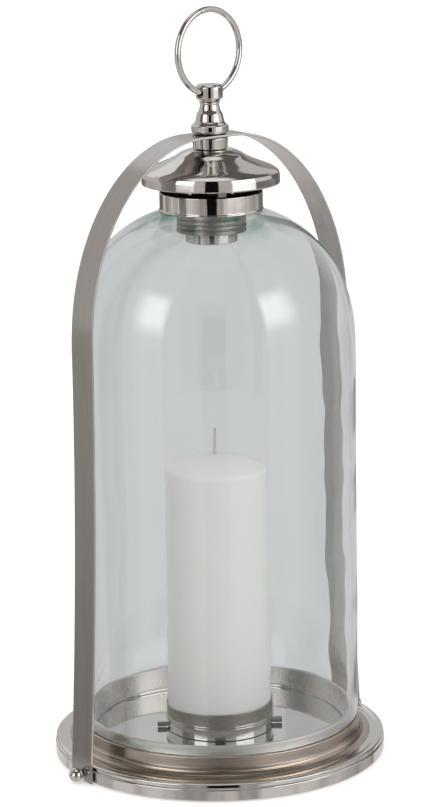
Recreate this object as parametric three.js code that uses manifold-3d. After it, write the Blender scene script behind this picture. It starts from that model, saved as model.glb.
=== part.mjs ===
// Candle lantern with a lift-off glass bell (a lantern cloche).
// Units are millimetres and +Z is up. The origin is on the table, under the centre of the base.
// The flat metal hoop lies in the XZ plane and its two feet are bolted to the base at -X and +X.

import * as THREE from "three";
import { mergeVertices } from "three/addons/utils/BufferGeometryUtils.js";
import Module from "manifold-3d";

const wasm = await Module();
wasm.setup();

// ---------------------------------------------------------------- driving dimensions

const GAP = 0.3;              // clearance between pieces that touch in the real lantern
const ROUND = 32;             // facets round the large turned pieces
const ROUND_SMALL = 20;       // facets round the small turned pieces
const BORE = 3.4;             // radius of every hole on the tie rod
const ROD_RADIUS = 3;

// base
const BASE_RADIUS = 125;
const BASE_BOTTOM = 1;        // the felt pads stand this much proud of the rim
const BAND_TOP = 9.8;
const FLANGE_TOP = 13.3;
const WEB_BOTTOM = 10.3;
const RIM_INNER = 120.6;
const PAD_RADIUS = 7;
const PAD_RING = 106;
const PAD_THICK = 1.3;
const HUB_RADIUS = 14;        // boss under the middle of the base, for the cup's bolt
const HUB_BOTTOM = 8.3;

// stepped gallery that carries the bell
const GALLERY_FOOT = 107.8;
const GALLERY_WALL = 106.6;
const GALLERY_LEDGE = 21.6;   // the wall steps in above this height
const SEAT_Z = 28;
const LIP_OUTER = 101;
const LIP_INNER = 98.4;
const LIP_TOP = 34.9;
const GALLERY_FLOOR_WALL = 2.6;  // thickness of the gallery inside its lip, at the tray
const TRAY_Z = 17;
const TRAY_SHEET = 1.4;

// candle cup and candle
const CUP_RADIUS = 40.3;
const CUP_INNER = 39.4;
const CUP_TOP = 38.2;
const CUP_FLOOR = 23.8;
const CUP_SHEET = 1.4;
const CUP_HOLE = 6.2;         // way for the bolt's head through the cup's floor
const CUP_BEADS = [25.9, 27.7];
const SPIGOT_RADIUS = 38.6;
const SIDE_SCREW_Z = 19.6;
const SIDE_SCREW_TURN = -32;  // degrees about Z
const SIDE_SCREW_HOLE = 1.6;
const BOLT_SEAT = 20;         // height of the ledge under the bolt's head
const WASHER_THICK = 1.4;
const CANDLE_SHOULDER = 217.6;   // top of the candle's straight side
const CANDLE_TOP = 230.5;        // summit of its domed top
const CANDLE_RADIUS = 39.05;
const CANDLE_TOP_RADIUS = 38;
const WICK_TOP = 249.4;
const WICK_RADIUS = 1;
const WICK_HOLE = 1.6;
const WICK_DEPTH = 14;

// glass bell
const BELL_RADIUS = 105.4;
const GLASS = 3.2;
const SHOULDER_Z = 311;
const DOME_Z = 418.8;
const DOME_POWER = 2.25;
const CROWN_RADIUS = 28;
const CROWN_HOLE = 19;

// neck fittings
const COLLAR_RADIUS = 38;
const COLLAR_BOTTOM = 414.7;
const COLLAR_TOP = 428.5;
const COLLAR_BORE = 24;
const COLLAR_LEDGE = 5.1;     // height of the ledge over the collar's lower edge
const COLLAR_SKIRT = 1.5;
const NUT_RADIUS = 25.6;
const NUT_BOTTOM = 398.2;
const NUT_TOP = 411.6;
const TUBE_RADIUS = 17.2;
const TUBE_BORE = 14.5;
const TUBE_FLANGE = 18.7;
const TUBE_BOTTOM = 390.3;
const TUBE_TOP = 426;
const TUBE_WEB = 3.7;         // height of the spokes over the tube's foot
const TUBE_WEB_THICK = 3;
const SPIDER_TURNS = [-113, 7, 127];
const SPIDER_HUB_TOP = 440;
const SPIDER_ARM_BOTTOM = 434.4;
const SPIDER_ARM_THICK = 2;

// cap, hoop and finial
const CAP_RADIUS = 50.9;
const CAP_BOTTOM = 434;
const CAP_SEAT = 459.4;
const CAP_SHEET = 1.5;
const HOOP_WIDTH = 25.4;
const HOOP_THICK = 1.8;
const HOOP_FOOT = 126.2;
const HOOP_SPRING = 116.5;
const HOOP_SPRING_Z = 327;
const HOOP_BEND_Z = 14.5;     // the legs stand upright against the base up to here
const HOOP_CREST = 469.5;
const HOOP_FLAT = 14;         // half length of the flat crest that the finial clamps
const FINIAL_BOTTOM = 470.7;
const HEAD_RADIUS = 9.83;
const HEAD_BOTTOM = 494.3;
const HEAD_TOP = 506.7;
const CROSS_HOLE_Z = 500.8;
const CROSS_HOLE = 3.5;
const RING_RADIUS = 30.4;
const RING_WIRE = 2.35;
const RING_DROP = 0.8;        // lowest point of the wire's centre line, below the cross hole's axis
const RING_TURN = 6.6;        // degrees about Z from the hoop's plane

// ball-headed screws that hold the hoop's feet
const BALL_RADIUS = 5.3;
const BALL_X = 132;
const FOOT_SCREW_Z = 6;
const FOOT_SCREW_RADIUS = 2;
const FOOT_SCREW_HOLE = 2.4;

// ---------------------------------------------------------------- finishes

function finish(color, roughness, metalness, extra = {}) {
  return new THREE.MeshStandardMaterial({ color, roughness, metalness, ...extra });
}

const POLISHED = finish(0xc4beb8, 0.12, 1);
const BRUSHED = finish(0x8f867e, 0.38, 1);
const STEEL = finish(0xa9a6a2, 0.35, 1);
const CLEAR_GLASS = finish(0xc9d6d8, 0.05, 0, { transparent: true, opacity: 0.35 });
const WAX = finish(0xf1efe8, 0.55, 0);
const WICK = finish(0xc9c6b8, 0.9, 0);
const SILICONE = finish(0x5b5c5c, 0.7, 0);
const FELT = finish(0x1d1d1e, 0.95, 0);

// ---------------------------------------------------------------- geometry helpers

// A solid of revolution about Z from a list of [radius, height] points.
function turned(profile, segments = ROUND) {
  const points = profile.map(([r, z]) => new THREE.Vector2(r, z));
  return new THREE.LatheGeometry(points, segments).rotateX(Math.PI / 2);
}

// A solid of revolution whose profile is a closed loop that doesn't touch the axis.
function turnedLoop(profile, segments = ROUND) {
  return turned([...profile, profile[0]], segments);
}

function tube(inner, outer, bottom, top, segments = ROUND_SMALL) {
  return turnedLoop([[inner, bottom], [outer, bottom], [outer, top], [inner, top]], segments);
}

function rod(radius, bottom, top, segments = ROUND_SMALL) {
  return turned([[0, bottom], [radius, bottom], [radius, top], [0, top]], segments);
}

function toSolid(geometry) {
  const bare = geometry.clone();
  bare.deleteAttribute("normal");
  bare.deleteAttribute("uv");
  const merged = mergeVertices(bare, 1e-4);
  const index = merged.index.array;
  const triVerts = [];
  for (let i = 0; i < index.length; i += 3) {
    const [a, b, c] = [index[i], index[i + 1], index[i + 2]];
    if (a !== b && b !== c && c !== a) triVerts.push(a, b, c);
  }
  return new wasm.Manifold(new wasm.Mesh({
    numProp: 3,
    vertProperties: new Float32Array(merged.attributes.position.array),
    triVerts: new Uint32Array(triVerts),
  }));
}

function toGeometry(solid) {
  const mesh = solid.getMesh();
  const geometry = new THREE.BufferGeometry();
  geometry.setAttribute("position", new THREE.BufferAttribute(mesh.vertProperties, 3));
  geometry.setIndex(new THREE.BufferAttribute(mesh.triVerts, 1));
  geometry.computeVertexNormals();
  return geometry;
}

function joined(geometry, additions) {
  return toGeometry(additions.reduce((body, piece) => body.add(toSolid(piece)), toSolid(geometry)));
}

function cut(geometry, cutters) {
  return toGeometry(cutters.reduce((body, piece) => body.subtract(toSolid(piece)), toSolid(geometry)));
}

// A round bar along X, from x0 to x1, at height z.
function barAlongX(radius, x0, x1, z, segments = ROUND_SMALL) {
  return rod(radius, x0, x1, segments).rotateY(Math.PI / 2).translate(0, 0, z);
}

function turnZ(geometry, degrees) {
  return geometry.rotateZ(THREE.MathUtils.degToRad(degrees));
}

function block(sizeX, sizeY, sizeZ, x, y, z) {
  return new THREE.BoxGeometry(sizeX, sizeY, sizeZ).translate(x, y, z);
}

// A hexagonal nut about Z with a round bore.
function hexNut(acrossFlats, bore, bottom, top) {
  const outline = new THREE.Shape();
  const corner = acrossFlats / Math.sqrt(3);
  for (let i = 0; i < 6; i += 1) {
    const angle = (i * Math.PI) / 3;
    const point = [corner * Math.cos(angle), corner * Math.sin(angle)];
    if (i === 0) outline.moveTo(...point);
    else outline.lineTo(...point);
  }
  outline.closePath();
  outline.holes.push(new THREE.Path().absarc(0, 0, bore, 0, 2 * Math.PI, true));
  const options = { depth: top - bottom, bevelEnabled: false, curveSegments: 8 };
  return new THREE.ExtrudeGeometry(outline, options).translate(0, 0, bottom);
}

// ---------------------------------------------------------------- base

// Cast base: an outer band, a half-round bead, the flat flange and a thin web, hollow beneath.
function baseCasting() {
  const shell = turnedLoop([
    [BORE, HUB_BOTTOM],
    [HUB_RADIUS, HUB_BOTTOM],
    [HUB_RADIUS + 2, WEB_BOTTOM],
    [RIM_INNER - 0.8, WEB_BOTTOM],
    [RIM_INNER, WEB_BOTTOM - 0.8],
    [RIM_INNER, BASE_BOTTOM],
    [BASE_RADIUS - 0.5, BASE_BOTTOM],
    [BASE_RADIUS, BASE_BOTTOM + 0.5],
    [BASE_RADIUS, BAND_TOP - 0.5],
    [BASE_RADIUS - 0.7, BAND_TOP],
    [BASE_RADIUS - 1.2, BAND_TOP + 0.5],
    [BASE_RADIUS - 0.6, BAND_TOP + 1.2],
    [BASE_RADIUS - 0.8, FLANGE_TOP - 0.6],
    [BASE_RADIUS - 2.2, FLANGE_TOP + 0.3],
    [BASE_RADIUS - 4.2, FLANGE_TOP + 0.3],
    [BASE_RADIUS - 5.8, FLANGE_TOP],
    [BORE, FLANGE_TOP],
  ]);
  const bosses = padPlaces().map(([x, y]) => {
    const boss = rod(PAD_RADIUS + 0.5, PAD_THICK + GAP, WEB_BOTTOM + 1, 16);
    return boss.translate(x, y, 0);
  });
  const reach = [RIM_INNER - 5, BASE_RADIUS + 5];
  const screwHoles = [-1, 1].map((side) => {
    const ends = reach.map((x) => x * side).sort((a, b) => a - b);
    return barAlongX(FOOT_SCREW_HOLE, ends[0], ends[1], FOOT_SCREW_Z);
  });
  return cut(joined(shell, bosses), screwHoles);
}

function padPlaces() {
  return [45, 135, 225, 315].map((degrees) => {
    const angle = THREE.MathUtils.degToRad(degrees);
    return [PAD_RING * Math.cos(angle), PAD_RING * Math.sin(angle)];
  });
}

// Turned ring with a stepped outer wall, a flat seat for the glass and a lip that centres it.
function glassGallery() {
  const foot = FLANGE_TOP + GAP;
  return turnedLoop([
    [LIP_INNER - GALLERY_FLOOR_WALL, foot],
    [GALLERY_FOOT, foot],
    [GALLERY_FOOT, GALLERY_LEDGE - 0.8],
    [GALLERY_FOOT - 0.4, GALLERY_LEDGE - 0.2],
    [GALLERY_WALL, GALLERY_LEDGE],
    [GALLERY_WALL, SEAT_Z - 0.5],
    [GALLERY_WALL - 0.5, SEAT_Z],
    [LIP_OUTER, SEAT_Z],
    [LIP_OUTER, LIP_TOP - 1],
    [(LIP_OUTER + LIP_INNER) / 2, LIP_TOP],
    [LIP_INNER, LIP_TOP - 1],
    [LIP_INNER, TRAY_Z + 2],
    [LIP_INNER - GALLERY_FLOOR_WALL, TRAY_Z + 2],
  ]);
}

// Shallow dished floor inside the gallery.
function trayPlate() {
  const edge = LIP_INNER - GALLERY_FLOOR_WALL - 0.4;
  return turnedLoop([
    [BORE, TRAY_Z - TRAY_SHEET],
    [edge - TRAY_SHEET, TRAY_Z - TRAY_SHEET],
    [edge - TRAY_SHEET, FLANGE_TOP + GAP],
    [edge, FLANGE_TOP + GAP],
    [edge, TRAY_Z - 0.4],
    [edge - 0.6, TRAY_Z],
    [BORE, TRAY_Z],
  ]);
}

// Spun cup with a double bead round its middle; its open skirt hides the spigot.
function candleCup() {
  const foot = TRAY_Z + GAP;
  const skirt = SPIGOT_RADIUS + 0.5;
  const beadRows = CUP_BEADS.flatMap((z) => [
    [CUP_RADIUS, z - 0.7],
    [CUP_RADIUS + 0.6, z - 0.2],
    [CUP_RADIUS + 0.6, z + 0.2],
    [CUP_RADIUS, z + 0.7],
  ]);
  const shell = turnedLoop([
    [skirt, foot],
    [CUP_RADIUS, foot],
    ...beadRows,
    [CUP_RADIUS, CUP_TOP - 0.4],
    [CUP_RADIUS - 0.4, CUP_TOP],
    [CUP_INNER, CUP_TOP],
    [CUP_INNER, CUP_FLOOR],
    [CUP_HOLE, CUP_FLOOR],
    [CUP_HOLE, CUP_FLOOR - CUP_SHEET],
    [skirt, CUP_FLOOR - CUP_SHEET],
  ]);
  const screwWay = barAlongX(SIDE_SCREW_HOLE, -CUP_RADIUS - 3, CUP_RADIUS + 3, SIDE_SCREW_Z, 12);
  return cut(shell, [turnZ(screwWay, SIDE_SCREW_TURN)]);
}

// Disc under the cup that centres it and takes the two side screws.
function cupSpigot() {
  const top = CUP_FLOOR - CUP_SHEET - GAP;
  const disc = turnedLoop([
    [BORE, TRAY_Z + GAP],
    [SPIGOT_RADIUS, TRAY_Z + GAP],
    [SPIGOT_RADIUS, top],
    [CUP_HOLE, top],
    [CUP_HOLE, BOLT_SEAT],
    [BORE, BOLT_SEAT],
  ]);
  const tapped = [0, 180].map((turn) => {
    const hole = barAlongX(SIDE_SCREW_HOLE, SPIGOT_RADIUS - 7, SPIGOT_RADIUS + 2, SIDE_SCREW_Z, 12);
    return turnZ(hole, SIDE_SCREW_TURN + turn);
  });
  return cut(disc, tapped);
}

// Small screw through the cup's skirt, along X before it is turned to its place.
function cupSideScrew() {
  const head = CUP_RADIUS + GAP;
  const headLength = 7.2;
  const shank = 1.25;
  const headRadius = 2.1;
  const profile = [
    [0, SPIGOT_RADIUS - 6],
    [shank, SPIGOT_RADIUS - 6],
    [shank, head],
    [headRadius, head],
    [headRadius, head + headLength - 0.6],
    [headRadius - 0.6, head + headLength],
    [0, head + headLength],
  ];
  return turned(profile, 12).rotateY(Math.PI / 2).translate(0, 0, SIDE_SCREW_Z);
}

// Bolt that holds the cup, its spigot and the tray down on the base.
function cupBolt() {
  const end = 1.8;
  const headRadius = CUP_HOLE - 0.6;
  return turned([
    [0, end],
    [ROD_RADIUS, end],
    [ROD_RADIUS, BOLT_SEAT + GAP],
    [headRadius, BOLT_SEAT + GAP],
    [headRadius, CUP_FLOOR - 0.5],
    [0, CUP_FLOOR - 0.5],
  ]);
}

function cupBoltWasher() {
  const top = HUB_BOTTOM - GAP;
  return tube(BORE, 9, top - WASHER_THICK, top);
}

function cupBoltNut() {
  const top = HUB_BOTTOM - 2 * GAP - WASHER_THICK;
  return hexNut(10, BORE, 2.4, top);
}

// ---------------------------------------------------------------- candle

// New moulded candle: a nearly straight pillar with a domed top that rises to the wick.
function pillarCandle() {
  const foot = CUP_FLOOR + GAP;
  const dome = [
    [CANDLE_TOP_RADIUS - 0.5, 10.9],
    [CANDLE_TOP_RADIUS - 2, 9.1],
    [32, 7.2],
    [24, 4.3],
    [16, 2.3],
    [8, 0.9],
    [4, 0.3],
    [WICK_HOLE, 0.8],
  ];
  return turned([
    [0, foot],
    [CANDLE_RADIUS - 0.6, foot],
    [CANDLE_RADIUS, foot + 0.8],
    [CANDLE_TOP_RADIUS, CANDLE_SHOULDER],
    ...dome.map(([r, drop]) => [r, CANDLE_TOP - drop]),
    [WICK_HOLE, CANDLE_TOP - WICK_DEPTH],
    [0, CANDLE_TOP - WICK_DEPTH],
  ]);
}

// ---------------------------------------------------------------- glass bell

// Height of the dome's outer face at a radius: a superellipse that meets the straight wall.
function domeHeight(radius) {
  const share = 1 - (radius / BELL_RADIUS) ** DOME_POWER;
  return SHOULDER_Z + (DOME_Z - SHOULDER_Z) * share ** (1 / DOME_POWER);
}

function domeNormal(radius) {
  const step = 0.01;
  const slope = (domeHeight(radius - step) - domeHeight(radius + step)) / (2 * step);
  return new THREE.Vector2(slope, 1).normalize();
}

// Outer points of the shoulder, from the straight wall up to the crown's flat.
function shoulderRadii() {
  const count = 7;
  const radii = [];
  for (let i = 1; i <= count; i += 1) {
    const turn = (i / count) * Math.acos(CROWN_RADIUS / BELL_RADIUS);
    radii.push(BELL_RADIUS * Math.cos(turn));
  }
  return radii;
}

function glassBell() {
  const outer = shoulderRadii().map((r) => [r, domeHeight(r)]);
  const inner = shoulderRadii().map((r) => {
    const normal = domeNormal(r);
    return [r - GLASS * normal.x, domeHeight(r) - GLASS * normal.y];
  });
  const crown = domeHeight(CROWN_RADIUS);
  inner[inner.length - 1] = [CROWN_RADIUS - 0.6, crown - GLASS];
  return turnedLoop([
    [BELL_RADIUS - GLASS, SEAT_Z + GAP + 0.8],
    [BELL_RADIUS - GLASS + 0.8, SEAT_Z + GAP],
    [BELL_RADIUS - 0.8, SEAT_Z + GAP],
    [BELL_RADIUS, SEAT_Z + GAP + 0.8],
    [BELL_RADIUS, SHOULDER_Z],
    ...outer,
    [CROWN_HOLE, crown],
    [CROWN_HOLE, crown - GLASS],
    ...inner.reverse(),
    [BELL_RADIUS - GLASS, SHOULDER_Z],
  ]);
}

// ---------------------------------------------------------------- neck fittings

// Turned collar: a thick ring with a thin skirt that reaches down to the glass.
function collar() {
  const ledge = COLLAR_BOTTOM + COLLAR_LEDGE;
  const skirt = COLLAR_RADIUS - COLLAR_SKIRT;
  return turnedLoop([
    [COLLAR_BORE, ledge],
    [skirt, ledge],
    [skirt, COLLAR_BOTTOM],
    [COLLAR_RADIUS + 0.5, COLLAR_BOTTOM],
    [COLLAR_RADIUS + 0.5, COLLAR_BOTTOM + 0.7],
    [COLLAR_RADIUS, COLLAR_BOTTOM + 1.4],
    [COLLAR_RADIUS, COLLAR_TOP - 0.5],
    [COLLAR_RADIUS - 0.5, COLLAR_TOP],
    [COLLAR_BORE, COLLAR_TOP],
  ]);
}

// Soft ring between the collar's ledge and the glass.
function collarGasket() {
  const inner = CROWN_RADIUS + 1;
  const outer = COLLAR_RADIUS - COLLAR_SKIRT - GAP;
  const top = COLLAR_BOTTOM + COLLAR_LEDGE - GAP;
  return turnedLoop([
    [inner, domeHeight(CROWN_RADIUS) + GAP],
    [outer, domeHeight(outer) + 2 * GAP],
    [outer, top],
    [inner, top],
  ]);
}

function innerGasket() {
  const top = domeHeight(CROWN_RADIUS) - GLASS - GAP;
  return tube(TUBE_RADIUS + 0.6, NUT_RADIUS - 0.6, NUT_TOP + GAP, top);
}

// Grooved ring nut that clamps the crown of the glass from inside.
function ringNut() {
  const grooves = [3.4, 6.8, 10.2].flatMap((up) => [
    [NUT_RADIUS, NUT_BOTTOM + up - 0.7],
    [NUT_RADIUS - 0.7, NUT_BOTTOM + up - 0.3],
    [NUT_RADIUS - 0.7, NUT_BOTTOM + up + 0.3],
    [NUT_RADIUS, NUT_BOTTOM + up + 0.7],
  ]);
  return turnedLoop([
    [TUBE_RADIUS + 0.4, NUT_BOTTOM],
    [NUT_RADIUS - 0.5, NUT_BOTTOM],
    [NUT_RADIUS, NUT_BOTTOM + 0.5],
    ...grooves,
    [NUT_RADIUS, NUT_TOP],
    [TUBE_RADIUS + 0.4, NUT_TOP],
  ], ROUND_SMALL);
}

// Open tube that lets the hot air out; three spokes at its foot carry the tie rod.
function ventTube() {
  const flangeTop = NUT_BOTTOM - GAP;
  const wall = turnedLoop([
    [TUBE_BORE, TUBE_BOTTOM],
    [TUBE_FLANGE - 0.6, TUBE_BOTTOM],
    [TUBE_FLANGE, TUBE_BOTTOM + 0.6],
    [TUBE_FLANGE, flangeTop],
    [TUBE_RADIUS, flangeTop],
    [TUBE_RADIUS, TUBE_TOP],
    [TUBE_BORE, TUBE_TOP],
  ], ROUND_SMALL);
  const webBottom = TUBE_BOTTOM + TUBE_WEB;
  const webTop = webBottom + TUBE_WEB_THICK;
  const spokeLength = TUBE_BORE + 1;
  const spokes = [0, 120, 240].map((turn) => {
    const spoke = block(spokeLength, 4, webTop - webBottom, spokeLength / 2, 0, (webBottom + webTop) / 2);
    return turnZ(spoke, turn);
  });
  const web = joined(rod(6.5, webBottom, webTop), spokes);
  return cut(joined(wall, [web]), [rod(BORE, webBottom - 1, webTop + 1)]);
}

// Three-armed bridge that stands on the collar and leaves the vent gap under the cap.
function ventSpider() {
  const armTop = SPIDER_ARM_BOTTOM + SPIDER_ARM_THICK;
  const armMiddle = SPIDER_ARM_BOTTOM + SPIDER_ARM_THICK / 2;
  const reach = COLLAR_RADIUS - 2;
  const hub = rod(8, SPIDER_ARM_BOTTOM, SPIDER_HUB_TOP);
  const arms = SPIDER_TURNS.flatMap((turn) => {
    const arm = block(reach, 6, SPIDER_ARM_THICK, reach / 2, 0, armMiddle);
    const footHeight = armTop - (COLLAR_TOP + GAP);
    const foot = block(3, 6, footHeight, reach - 1.5, 0, armTop - footHeight / 2);
    return [turnZ(arm, turn), turnZ(foot, turn)];
  });
  return cut(joined(hub, arms), [rod(BORE, SPIDER_ARM_BOTTOM - 1, SPIDER_HUB_TOP + 1)]);
}

// ---------------------------------------------------------------- cap and finial

// Spun cap: a raised centre, a shallow dished slope and a rolled band at the rim.
function ventCap() {
  const slope = [
    [18.2, CAP_SEAT - 1],
    [22.5, CAP_SEAT - 2.8],
    [27, CAP_SEAT - 5.8],
    [36, CAP_SEAT - 9.6],
    [46, CAP_SEAT - 13.5],
    [50.7, CAP_SEAT - 17.4],
  ];
  const inside = slope.map(([r, z]) => [r - CAP_SHEET * 0.45, z - CAP_SHEET]);
  const rimInner = CAP_RADIUS - CAP_SHEET - 0.4;
  return turnedLoop([
    [rimInner, CAP_BOTTOM],
    [CAP_RADIUS - 0.5, CAP_BOTTOM],
    [CAP_RADIUS, CAP_BOTTOM + 0.6],
    [CAP_RADIUS, CAP_SEAT - 19],
    ...[...slope].reverse(),
    [14, CAP_SEAT],
    [BORE, CAP_SEAT],
    [BORE, CAP_SEAT - CAP_SHEET],
    [13.6, CAP_SEAT - CAP_SHEET],
    ...inside,
    [rimInner, CAP_SEAT - 19.6],
  ]);
}

// Turned disc between the cap and the hoop.
function lowerFinial() {
  const bottom = CAP_SEAT + GAP;
  const top = HOOP_CREST - HOOP_THICK / 2 - GAP;
  return turnedLoop([
    [BORE, bottom],
    [12.1, bottom],
    [12.6, bottom + 0.6],
    [13.2, top - 0.7],
    [12.7, top],
    [BORE, top],
  ], ROUND_SMALL);
}

// Baluster that clamps the hoop's crest on the disc below it.
function finialBody() {
  const outline = [
    [BORE, 0],
    [11.3, 0],
    [13.7, 1.9],
    [13.7, 5.9],
    [13.2, 6.4],
    [12.3, 6.5],
    [11.4, 8.2],
    [10.5, 9.1],
    [10.2, 10.8],
    [9.4, 14.8],
    [8.5, 16.1],
    [7.7, 17.6],
    [7.1, 20.6],
    [6.8, 21.5],
    [7.5, 22.1],
    [7.5, 22.9],
    [7.1, HEAD_BOTTOM - GAP - FINIAL_BOTTOM],
    [BORE, HEAD_BOTTOM - GAP - FINIAL_BOTTOM],
  ];
  return turnedLoop(outline.map(([r, up]) => [r, FINIAL_BOTTOM + up]), ROUND_SMALL);
}

// Head of the finial with the cross hole for the ring; the tie rod ends in its foot.
function finialHead() {
  const body = turned([
    [0, HEAD_BOTTOM + 1.2],
    [BORE, HEAD_BOTTOM + 1.2],
    [BORE, HEAD_BOTTOM],
    [7.6, HEAD_BOTTOM],
    [HEAD_RADIUS, HEAD_BOTTOM + 2.4],
    [HEAD_RADIUS, HEAD_TOP - 1.6],
    [HEAD_RADIUS - 1.3, HEAD_TOP - 0.2],
    [HEAD_RADIUS - 2, HEAD_TOP],
    [0, HEAD_TOP],
  ], ROUND_SMALL);
  const crossHole = barAlongX(CROSS_HOLE, -HEAD_RADIUS - 2, HEAD_RADIUS + 2, CROSS_HOLE_Z, 20);
  return turnZ(cut(body, [crossHole]), RING_TURN);
}

// Round wire bent to a ring, with a fine butt joint near its top.
function hangingRing() {
  const jointAngle = THREE.MathUtils.degToRad(104);
  const jointGap = 0.6 / RING_RADIUS;
  const centreZ = CROSS_HOLE_Z - RING_DROP + RING_RADIUS;
  class RingPath extends THREE.Curve {
    getPoint(t, target = new THREE.Vector3()) {
      const angle = jointAngle + jointGap / 2 + t * (2 * Math.PI - jointGap);
      return target.set(RING_RADIUS * Math.cos(angle), 0, centreZ + RING_RADIUS * Math.sin(angle));
    }
  }
  const section = new THREE.Shape().absarc(0, 0, RING_WIRE, 0, 2 * Math.PI);
  const options = { steps: 36, bevelEnabled: false, extrudePath: new RingPath(), curveSegments: 5 };
  return turnZ(new THREE.ExtrudeGeometry(section, options), RING_TURN);
}

// ---------------------------------------------------------------- hoop

// Centre line of half the hoop, from a foot to the crest, as [x, z] points.
function hoopLine() {
  const legSteps = 7;
  const archSteps = 16;
  const line = [[HOOP_FOOT, BASE_BOTTOM]];
  for (let i = 0; i < legSteps; i += 1) {
    const share = 1 - i / legSteps;
    const z = HOOP_SPRING_Z - share * (HOOP_SPRING_Z - HOOP_BEND_Z);
    line.push([HOOP_SPRING + (HOOP_FOOT - HOOP_SPRING) * share ** 2, z]);
  }
  for (let i = 0; i <= archSteps; i += 1) {
    const angle = (i / archSteps) * (Math.PI / 2);
    const rise = (HOOP_CREST - HOOP_SPRING_Z) * Math.sin(angle);
    line.push([HOOP_FLAT + (HOOP_SPRING - HOOP_FLAT) * Math.cos(angle), HOOP_SPRING_Z + rise]);
  }
  line.push([0, HOOP_CREST]);
  return line;
}

// The strip's face on one side of the centre line; the foot stays level and the crest stays on x = 0.
function hoopFace(side) {
  const line = hoopLine();
  return line.map(([x, z], i) => {
    const [xa, za] = line[Math.max(i - 1, 0)];
    const [xb, zb] = line[Math.min(i + 1, line.length - 1)];
    const length = Math.hypot(xb - xa, zb - za);
    const offset = (side * HOOP_THICK) / 2;
    const atFoot = i === 0;
    const atCrest = i === line.length - 1;
    const nx = atCrest ? 0 : (zb - za) / length;
    const nz = atFoot ? 0 : -(xb - xa) / length;
    return [x + offset * nx, z + offset * (atCrest ? 1 : nz)];
  });
}

function strapHoop() {
  const outer = hoopFace(1);
  const inner = hoopFace(-1);
  const mirrored = (points) => points.slice(0, -1).map(([x, z]) => [-x, z]).reverse();
  const loop = [...outer, ...mirrored(outer), ...mirrored(inner).reverse(), ...[...inner].reverse()];
  const outline = new THREE.Shape(loop.map(([x, z]) => new THREE.Vector2(x, z)));
  const options = { depth: HOOP_WIDTH, bevelEnabled: false };
  const strip = new THREE.ExtrudeGeometry(outline, options).rotateX(Math.PI / 2);
  strip.translate(0, HOOP_WIDTH / 2, 0);
  const slots = [-1, 1].flatMap((side) => {
    const x = side * HOOP_FOOT;
    const bore = barAlongX(FOOT_SCREW_HOLE, x - 5, x + 5, FOOT_SCREW_Z);
    return [bore, block(10, 2 * FOOT_SCREW_HOLE, 10, x, 0, FOOT_SCREW_Z - 5)];
  });
  const crestHole = rod(BORE, HOOP_CREST - 5, HOOP_CREST + 5);
  return cut(strip, [...slots, crestHole]);
}

// Ball-headed screw along +X, before it is turned to its side.
function ballScrew() {
  const seat = HOOP_FOOT + HOOP_THICK / 2 + GAP;
  const shankEnd = RIM_INNER - 7.2;
  const ballStart = Math.acos((BALL_X - seat) / BALL_RADIUS);
  const steps = 6;
  const ball = [];
  for (let i = 0; i <= steps; i += 1) {
    const angle = ballStart + (i / steps) * (Math.PI - ballStart);
    ball.push([BALL_RADIUS * Math.sin(angle), BALL_X - BALL_RADIUS * Math.cos(angle)]);
  }
  ball[steps][0] = 0;
  const profile = [[0, shankEnd], [FOOT_SCREW_RADIUS, shankEnd], [FOOT_SCREW_RADIUS, seat], ...ball];
  return turned(profile, 16).rotateY(Math.PI / 2).translate(0, 0, FOOT_SCREW_Z);
}

function rimNut() {
  const nut = hexNut(7, FOOT_SCREW_HOLE, RIM_INNER - 4.4, RIM_INNER - 1.2);
  return nut.rotateZ(Math.PI / 6).rotateY(Math.PI / 2).translate(0, 0, FOOT_SCREW_Z);
}

// ---------------------------------------------------------------- assembly

const lantern = new THREE.Group();

function place(name, geometry, material) {
  const mesh = new THREE.Mesh(geometry, material);
  mesh.name = name;
  lantern.add(mesh);
  return mesh;
}

place("base_casting", baseCasting(), POLISHED);
place("glass_gallery", glassGallery(), BRUSHED);
place("tray_plate", trayPlate(), POLISHED);
place("cup_spigot", cupSpigot(), STEEL);
place("candle_cup", candleCup(), POLISHED);
place("cup_bolt", cupBolt(), STEEL);
place("cup_bolt_washer", cupBoltWasher(), STEEL);
place("cup_bolt_nut", cupBoltNut(), STEEL);

const sides = { right: 0, left: 180 };
for (const [side, turn] of Object.entries(sides)) {
  place(`cup_side_screw_${side}`, turnZ(cupSideScrew(), SIDE_SCREW_TURN + turn), STEEL);
  place(`rim_nut_${side}`, turnZ(rimNut(), turn), STEEL);
  place(`ball_screw_${side}`, turnZ(ballScrew(), turn), POLISHED);
}

padPlaces().forEach(([x, y], i) => {
  place(`foot_pad_${i + 1}`, rod(PAD_RADIUS, 0, PAD_THICK, 16), FELT).position.set(x, y, 0);
});

place("pillar_candle", pillarCandle(), WAX);
place("candle_wick", rod(WICK_RADIUS, CANDLE_TOP - WICK_DEPTH + GAP, WICK_TOP, 10), WICK);

place("glass_bell", glassBell(), CLEAR_GLASS);
place("inner_gasket", innerGasket(), SILICONE);
place("collar_gasket", collarGasket(), SILICONE);
place("collar", collar(), POLISHED);
place("ring_nut", ringNut(), BRUSHED);
place("vent_tube", ventTube(), STEEL);
place("tie_rod", rod(ROD_RADIUS, TUBE_BOTTOM - 1.3, HEAD_BOTTOM + 0.9, 16), STEEL);
place("tie_rod_nut", hexNut(10, BORE, TUBE_BOTTOM - 0.6, TUBE_BOTTOM + TUBE_WEB - GAP), STEEL);
place("vent_spider", ventSpider(), STEEL);
place("cap_spacer", tube(BORE, 7, SPIDER_HUB_TOP + GAP, CAP_SEAT - CAP_SHEET - GAP), STEEL);
place("vent_cap", ventCap(), POLISHED);
place("lower_finial", lowerFinial(), POLISHED);
place("strap_hoop", strapHoop(), BRUSHED);
place("finial_body", finialBody(), POLISHED);
place("finial_head", finialHead(), POLISHED);
place("hanging_ring", hangingRing(), POLISHED);

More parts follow.
